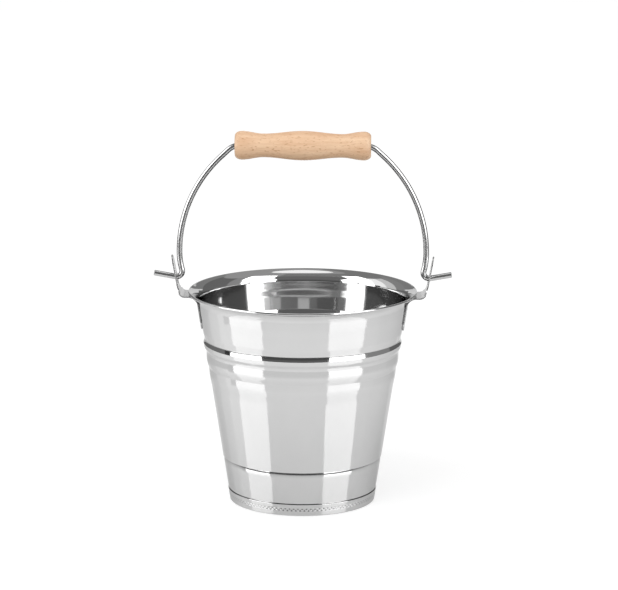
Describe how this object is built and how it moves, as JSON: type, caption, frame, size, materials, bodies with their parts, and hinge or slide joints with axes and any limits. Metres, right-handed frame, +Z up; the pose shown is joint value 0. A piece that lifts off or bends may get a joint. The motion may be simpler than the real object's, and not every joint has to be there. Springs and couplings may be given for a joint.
{
  "type": "sauna bucket",
  "caption": "Small tapered stainless steel pail with a curled rim, formed ears, a swinging wire bail and a turned wooden grip.",
  "frame": {"origin": "centre of the foot ring on the ground, below the bucket's axis", "axes": "+Z up along the bucket's axis, +X through the right ear, +Y away from the picture's camera"},
  "size_m": [0.2608, 0.2, 0.3273],
  "materials": {
    "polished_steel": "mirror polished stainless sheet",
    "satin_steel": "satin stainless strip",
    "wire_steel": "bright drawn stainless wire",
    "beech": "turned and sanded pale wood, no varnish"
  },
  "bodies": {
    "bucket": {"bucket_wall": "polished_steel", "base_pan": "polished_steel", "ear_left": "satin_steel", "ear_right": "satin_steel"},
    "bail": {"bail_wire": "wire_steel"},
    "grip_body": {"grip": "beech"}
  },
  "joints": [
    {"name": "bail_swing", "type": "hinge", "parent": "bucket", "child": "bail", "pos_m": [0, 0, 0.198], "axis": [1, 0, 0], "range_deg": [-120, 120]},
    {"name": "grip_spin", "type": "hinge", "parent": "bail", "child": "grip_body", "pos_m": [0, 0, 0.3145], "axis": [1, 0, 0], "continuous": true}
  ]
}
